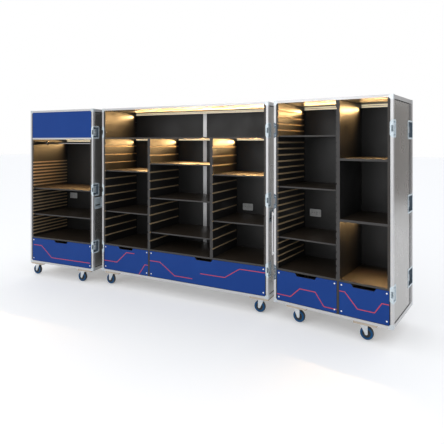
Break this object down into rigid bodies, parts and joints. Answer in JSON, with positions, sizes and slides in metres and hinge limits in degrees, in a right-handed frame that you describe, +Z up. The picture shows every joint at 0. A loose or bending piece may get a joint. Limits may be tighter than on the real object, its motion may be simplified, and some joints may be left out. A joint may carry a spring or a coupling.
{
  "type": "wardrobe flight case",
  "caption": "Three-part rolling wardrobe case whose two wings fold shut against the wide centre, with grooved walls, sliding shelves, drawers and swivel castors.",
  "frame": {"origin": "on the floor, under the centre of the open case's bounding box", "axes": "+X runs along the open case from the left wing to the right wing, the open fronts face -Y and +Z is up"},
  "size_m": [3.8592, 0.7526, 1.796],
  "materials": {
    "ply": "black phenolic film on birch plywood",
    "edging": "satin mill aluminium",
    "divider": "black phenolic film on birch plywood",
    "shelf": "black phenolic film on birch plywood",
    "drawer": "blue laminate on birch plywood",
    "rail": "polished steel tube",
    "zinc": "bright zinc plate",
    "wheel": "blue plastic ring on a black hub, with a dark grey tread"
  },
  "bodies": {
    "centre_section": {"centre_case": "ply", "centre_edging": "edging", "centre_dividers": "divider"},
    "left_section": {"left_case": "ply", "left_edging": "edging", "left_garment_rail": "rail"},
    "right_section": {"right_case": "ply", "right_edging": "edging", "right_dividers": "divider", "right_back_lid": "ply"},
    "left_castor_front_left_fork": {"left_castor_front_left_fork": "zinc"},
    "left_castor_front_left_wheel": {"left_castor_front_left_wheel": "wheel"},
    "left_castor_front_right_fork": {"left_castor_front_right_fork": "zinc"},
    "left_castor_front_right_wheel": {"left_castor_front_right_wheel": "wheel"},
    "left_castor_rear_left_fork": {"left_castor_rear_left_fork": "zinc"},
    "left_castor_rear_left_wheel": {"left_castor_rear_left_wheel": "wheel"},
    "left_castor_rear_right_fork": {"left_castor_rear_right_fork": "zinc"},
    "left_castor_rear_right_wheel": {"left_castor_rear_right_wheel": "wheel"},
    "left_drawer": {"left_drawer": "drawer"},
    "left_handle_bail": {"left_handle_bail": "zinc"},
    "left_shelf_1": {"left_shelf_1": "shelf"},
    "left_shelf_2": {"left_shelf_2": "shelf"},
    "centre_castor_front_left_fork": {"centre_castor_front_left_fork": "zinc"},
    "centre_castor_front_left_wheel": {"centre_castor_front_left_wheel": "wheel"},
    "centre_castor_front_right_fork": {"centre_castor_front_right_fork": "zinc"},
    "centre_castor_front_right_wheel": {"centre_castor_front_right_wheel": "wheel"},
    "centre_castor_rear_left_wheel": {"centre_castor_rear_left_wheel": "wheel"},
    "centre_castor_rear_right_wheel": {"centre_castor_rear_right_wheel": "wheel"},
    "centre_drawer_narrow": {"centre_drawer_narrow": "drawer"},
    "centre_drawer_wide": {"centre_drawer_wide": "drawer"},
    "centre_handle_bail": {"centre_handle_bail": "zinc"},
    "centre_left_shelf_1": {"centre_left_shelf_1": "shelf"},
    "centre_left_shelf_2": {"centre_left_shelf_2": "shelf"},
    "centre_middle_shelf_1": {"centre_middle_shelf_1": "shelf"},
    "centre_middle_shelf_2": {"centre_middle_shelf_2": "shelf"},
    "centre_middle_shelf_3": {"centre_middle_shelf_3": "shelf"},
    "centre_right_shelf_1": {"centre_right_shelf_1": "shelf"},
    "centre_right_shelf_2": {"centre_right_shelf_2": "shelf"},
    "right_castor_front_left_fork": {"right_castor_front_left_fork": "zinc"},
    "right_castor_front_left_wheel": {"right_castor_front_left_wheel": "wheel"},
    "right_castor_front_right_fork": {"right_castor_front_right_fork": "zinc"},
    "right_castor_front_right_wheel": {"right_castor_front_right_wheel": "wheel"},
    "right_castor_rear_left_fork": {"right_castor_rear_left_fork": "zinc"},
    "right_castor_rear_left_wheel": {"right_castor_rear_left_wheel": "wheel"},
    "right_castor_rear_right_fork": {"right_castor_rear_right_fork": "zinc"},
    "right_castor_rear_right_wheel": {"right_castor_rear_right_wheel": "wheel"},
    "right_drawer_narrow": {"right_drawer_narrow": "drawer"},
    "right_drawer_wide": {"right_drawer_wide": "drawer"},
    "right_shelf_1": {"right_shelf_1": "shelf"},
    "right_shelf_2": {"right_shelf_2": "shelf"},
    "right_shelf_3": {"right_shelf_3": "shelf"},
    "left_latch_key_high": {"left_latch_key_high": "zinc"},
    "left_latch_key_low": {"left_latch_key_low": "zinc"},
    "left_latch_key_middle": {"left_latch_key_middle": "zinc"},
    "lid_latch_key_high": {"lid_latch_key_high": "zinc"},
    "lid_latch_key_low": {"lid_latch_key_low": "zinc"},
    "lid_latch_key_middle": {"lid_latch_key_middle": "zinc"},
    "right_latch_key_high": {"right_latch_key_high": "zinc"},
    "right_latch_key_low": {"right_latch_key_low": "zinc"},
    "right_latch_key_middle": {"right_latch_key_middle": "zinc"}
  },
  "joints": [
    {"name": "left_wing_turn", "type": "hinge", "parent": "centre_section", "child": "left_section", "pos_m": [-0.99079, -0.25247, 0.146], "axis": [0, 0, -1], "range_deg": [-177, 0]},
    {"name": "right_wing_turn", "type": "hinge", "parent": "centre_section", "child": "right_section", "pos_m": [0.87981, -0.22765, 0.146], "axis": [0, 0, 1], "range_deg": [-171.7, 0]},
    {"name": "left_castor_front_left_swivel", "type": "hinge", "parent": "left_section", "child": "left_castor_front_left_fork", "pos_m": [-1.81825, -0.25353, 0.125], "axis": [0, 0, 1], "continuous": true},
    {"name": "left_castor_front_left_wheel_spin", "type": "hinge", "parent": "left_castor_front_left_fork", "child": "left_castor_front_left_wheel", "pos_m": [-1.8562, -0.25552, 0.04957], "axis": [0.0523, -0.9986, 0], "continuous": true},
    {"name": "left_castor_front_right_swivel", "type": "hinge", "parent": "left_section", "child": "left_castor_front_right_fork", "pos_m": [-1.18412, -0.2203, 0.125], "axis": [0, 0, 1], "continuous": true},
    {"name": "left_castor_front_right_wheel_spin", "type": "hinge", "parent": "left_castor_front_right_fork", "child": "left_castor_front_right_wheel", "pos_m": [-1.22207, -0.22229, 0.04957], "axis": [0.0523, -0.9986, 0], "continuous": true},
    {"name": "left_castor_rear_left_swivel", "type": "hinge", "parent": "left_section", "child": "left_castor_rear_left_fork", "pos_m": [-1.84154, 0.19086, 0.125], "axis": [0, 0, 1], "continuous": true},
    {"name": "left_castor_rear_left_wheel_spin", "type": "hinge", "parent": "left_castor_rear_left_fork", "child": "left_castor_rear_left_wheel", "pos_m": [-1.87949, 0.18887, 0.04957], "axis": [0.0523, -0.9986, 0], "continuous": true},
    {"name": "left_castor_rear_right_swivel", "type": "hinge", "parent": "left_section", "child": "left_castor_rear_right_fork", "pos_m": [-1.20741, 0.22409, 0.125], "axis": [0, 0, 1], "continuous": true},
    {"name": "left_castor_rear_right_wheel_spin", "type": "hinge", "parent": "left_castor_rear_right_fork", "child": "left_castor_rear_right_wheel", "pos_m": [-1.24536, 0.2221, 0.04957], "axis": [0.0523, -0.9986, 0], "continuous": true},
    {"name": "left_drawer_slide", "type": "slide", "parent": "left_section", "child": "left_drawer", "axis": [0.0523, -0.9986, 0], "range_m": [0, 0.4]},
    {"name": "left_handle_bail_swing", "type": "hinge", "parent": "left_section", "child": "left_handle_bail", "pos_m": [-1.0353, -0.20349, 0.865], "axis": [0.0523, -0.9986, 0], "range_deg": [0, 90]},
    {"name": "left_shelf_1_slide", "type": "slide", "parent": "left_section", "child": "left_shelf_1", "axis": [0.0523, -0.9986, 0], "range_m": [0, 0.4]},
    {"name": "left_shelf_2_slide", "type": "slide", "parent": "left_section", "child": "left_shelf_2", "axis": [0.0523, -0.9986, 0], "range_m": [0, 0.4]},
    {"name": "centre_castor_front_left_swivel", "type": "hinge", "parent": "centre_section", "child": "centre_castor_front_left_fork", "pos_m": [-0.86742, -0.14372, 0.125], "axis": [0, 0, 1], "continuous": true},
    {"name": "centre_castor_front_left_wheel_spin", "type": "hinge", "parent": "centre_castor_front_left_fork", "child": "centre_castor_front_left_wheel", "pos_m": [-0.90542, -0.14372, 0.04957], "axis": [0, -1, 0], "continuous": true},
    {"name": "centre_castor_front_right_swivel", "type": "hinge", "parent": "centre_section", "child": "centre_castor_front_right_fork", "pos_m": [0.78458, -0.14372, 0.125], "axis": [0, 0, 1], "continuous": true},
    {"name": "centre_castor_front_right_wheel_spin", "type": "hinge", "parent": "centre_castor_front_right_fork", "child": "centre_castor_front_right_wheel", "pos_m": [0.74658, -0.14372, 0.04957], "axis": [0, -1, 0], "continuous": true},
    {"name": "centre_castor_rear_left_wheel_spin", "type": "hinge", "parent": "centre_section", "child": "centre_castor_rear_left_wheel", "pos_m": [-0.86742, 0.30128, 0.04957], "axis": [1, 0, 0], "continuous": true},
    {"name": "centre_castor_rear_right_wheel_spin", "type": "hinge", "parent": "centre_section", "child": "centre_castor_rear_right_wheel", "pos_m": [0.78458, 0.30128, 0.04957], "axis": [1, 0, 0], "continuous": true},
    {"name": "centre_drawer_narrow_slide", "type": "slide", "parent": "centre_section", "child": "centre_drawer_narrow", "axis": [0, -1, 0], "range_m": [0, 0.4]},
    {"name": "centre_drawer_wide_slide", "type": "slide", "parent": "centre_section", "child": "centre_drawer_wide", "axis": [0, -1, 0], "range_m": [0, 0.4]},
    {"name": "centre_handle_bail_swing", "type": "hinge", "parent": "centre_section", "child": "centre_handle_bail", "pos_m": [0.83808, -0.13472, 0.865], "axis": [0, -1, 0], "range_deg": [0, 90]},
    {"name": "centre_left_shelf_1_slide", "type": "slide", "parent": "centre_section", "child": "centre_left_shelf_1", "axis": [0, -1, 0], "range_m": [0, 0.4]},
    {"name": "centre_left_shelf_2_slide", "type": "slide", "parent": "centre_section", "child": "centre_left_shelf_2", "axis": [0, -1, 0], "range_m": [0, 0.4]},
    {"name": "centre_middle_shelf_1_slide", "type": "slide", "parent": "centre_section", "child": "centre_middle_shelf_1", "axis": [0, -1, 0], "range_m": [0, 0.4]},
    {"name": "centre_middle_shelf_2_slide", "type": "slide", "parent": "centre_section", "child": "centre_middle_shelf_2", "axis": [0, -1, 0], "range_m": [0, 0.4]},
    {"name": "centre_middle_shelf_3_slide", "type": "slide", "parent": "centre_section", "child": "centre_middle_shelf_3", "axis": [0, -1, 0], "range_m": [0, 0.4]},
    {"name": "centre_right_shelf_1_slide", "type": "slide", "parent": "centre_section", "child": "centre_right_shelf_1", "axis": [0, -1, 0], "range_m": [0, 0.4]},
    {"name": "centre_right_shelf_2_slide", "type": "slide", "parent": "centre_section", "child": "centre_right_shelf_2", "axis": [0, -1, 0], "range_m": [0, 0.4]},
    {"name": "right_castor_front_left_swivel", "type": "hinge", "parent": "right_section", "child": "right_castor_front_left_fork", "pos_m": [1.07179, -0.18788, 0.125], "axis": [0, 0, 1], "continuous": true},
    {"name": "right_castor_front_left_wheel_spin", "type": "hinge", "parent": "right_castor_front_left_fork", "child": "right_castor_front_left_wheel", "pos_m": [1.10939, -0.19337, 0.04957], "axis": [0.1444, 0.9895, 0], "continuous": true},
    {"name": "right_castor_front_right_swivel", "type": "hinge", "parent": "right_section", "child": "right_castor_front_right_fork", "pos_m": [1.61207, -0.2667, 0.125], "axis": [0, 0, 1], "continuous": true},
    {"name": "right_castor_front_right_wheel_spin", "type": "hinge", "parent": "right_castor_front_right_fork", "child": "right_castor_front_right_wheel", "pos_m": [1.64967, -0.27218, 0.04957], "axis": [0.1444, 0.9895, 0], "continuous": true},
    {"name": "right_castor_rear_left_swivel", "type": "hinge", "parent": "right_section", "child": "right_castor_rear_left_fork", "pos_m": [1.13603, 0.25246, 0.125], "axis": [0, 0, 1], "continuous": true},
    {"name": "right_castor_rear_left_wheel_spin", "type": "hinge", "parent": "right_castor_rear_left_fork", "child": "right_castor_rear_left_wheel", "pos_m": [1.17363, 0.24697, 0.04957], "axis": [0.1444, 0.9895, 0], "continuous": true},
    {"name": "right_castor_rear_right_swivel", "type": "hinge", "parent": "right_section", "child": "right_castor_rear_right_fork", "pos_m": [1.67631, 0.17364, 0.125], "axis": [0, 0, 1], "continuous": true},
    {"name": "right_castor_rear_right_wheel_spin", "type": "hinge", "parent": "right_castor_rear_right_fork", "child": "right_castor_rear_right_wheel", "pos_m": [1.71391, 0.16815, 0.04957], "axis": [0.1444, 0.9895, 0], "continuous": true},
    {"name": "right_drawer_narrow_slide", "type": "slide", "parent": "right_section", "child": "right_drawer_narrow", "axis": [-0.1444, -0.9895, 0], "range_m": [0, 0.4]},
    {"name": "right_drawer_wide_slide", "type": "slide", "parent": "right_section", "child": "right_drawer_wide", "axis": [-0.1444, -0.9895, 0], "range_m": [0, 0.4]},
    {"name": "right_shelf_1_slide", "type": "slide", "parent": "right_section", "child": "right_shelf_1", "axis": [-0.1444, -0.9895, 0], "range_m": [0, 0.4]},
    {"name": "right_shelf_2_slide", "type": "slide", "parent": "right_section", "child": "right_shelf_2", "axis": [-0.1444, -0.9895, 0], "range_m": [0, 0.4]},
    {"name": "right_shelf_3_slide", "type": "slide", "parent": "right_section", "child": "right_shelf_3", "axis": [-0.1444, -0.9895, 0], "range_m": [0, 0.4]},
    {"name": "left_latch_key_high_turn", "type": "hinge", "parent": "left_section", "child": "left_latch_key_high", "pos_m": [-1.03859, -0.24572, 1.556], "axis": [0.9986, 0.0523, 0], "range_deg": [0, 180]},
    {"name": "left_latch_key_low_turn", "type": "hinge", "parent": "left_section", "child": "left_latch_key_low", "pos_m": [-1.03859, -0.24572, 0.3885], "axis": [0.9986, 0.0523, 0], "range_deg": [0, 180]},
    {"name": "left_latch_key_middle_turn", "type": "hinge", "parent": "left_section", "child": "left_latch_key_middle", "pos_m": [-1.03859, -0.24572, 0.97225], "axis": [0.9986, 0.0523, 0], "range_deg": [0, 180]},
    {"name": "lid_latch_key_high_turn", "type": "hinge", "parent": "right_section", "child": "lid_latch_key_high", "pos_m": [1.89674, 0.11217, 1.556], "axis": [0.9895, -0.1444, 0], "range_deg": [0, 180]},
    {"name": "lid_latch_key_low_turn", "type": "hinge", "parent": "right_section", "child": "lid_latch_key_low", "pos_m": [1.89674, 0.11217, 0.3885], "axis": [0.9895, -0.1444, 0], "range_deg": [0, 180]},
    {"name": "lid_latch_key_middle_turn", "type": "hinge", "parent": "right_section", "child": "lid_latch_key_middle", "pos_m": [1.89674, 0.11217, 0.97225], "axis": [0.9895, -0.1444, 0], "range_deg": [0, 180]},
    {"name": "right_latch_key_high_turn", "type": "hinge", "parent": "right_section", "child": "right_latch_key_high", "pos_m": [0.93146, -0.20076, 1.556], "axis": [-0.9895, 0.1444, 0], "range_deg": [0, 180]},
    {"name": "right_latch_key_low_turn", "type": "hinge", "parent": "right_section", "child": "right_latch_key_low", "pos_m": [0.93146, -0.20076, 0.3885], "axis": [-0.9895, 0.1444, 0], "range_deg": [0, 180]},
    {"name": "right_latch_key_middle_turn", "type": "hinge", "parent": "right_section", "child": "right_latch_key_middle", "pos_m": [0.93146, -0.20076, 0.97225], "axis": [-0.9895, 0.1444, 0], "range_deg": [0, 180]}
  ]
}
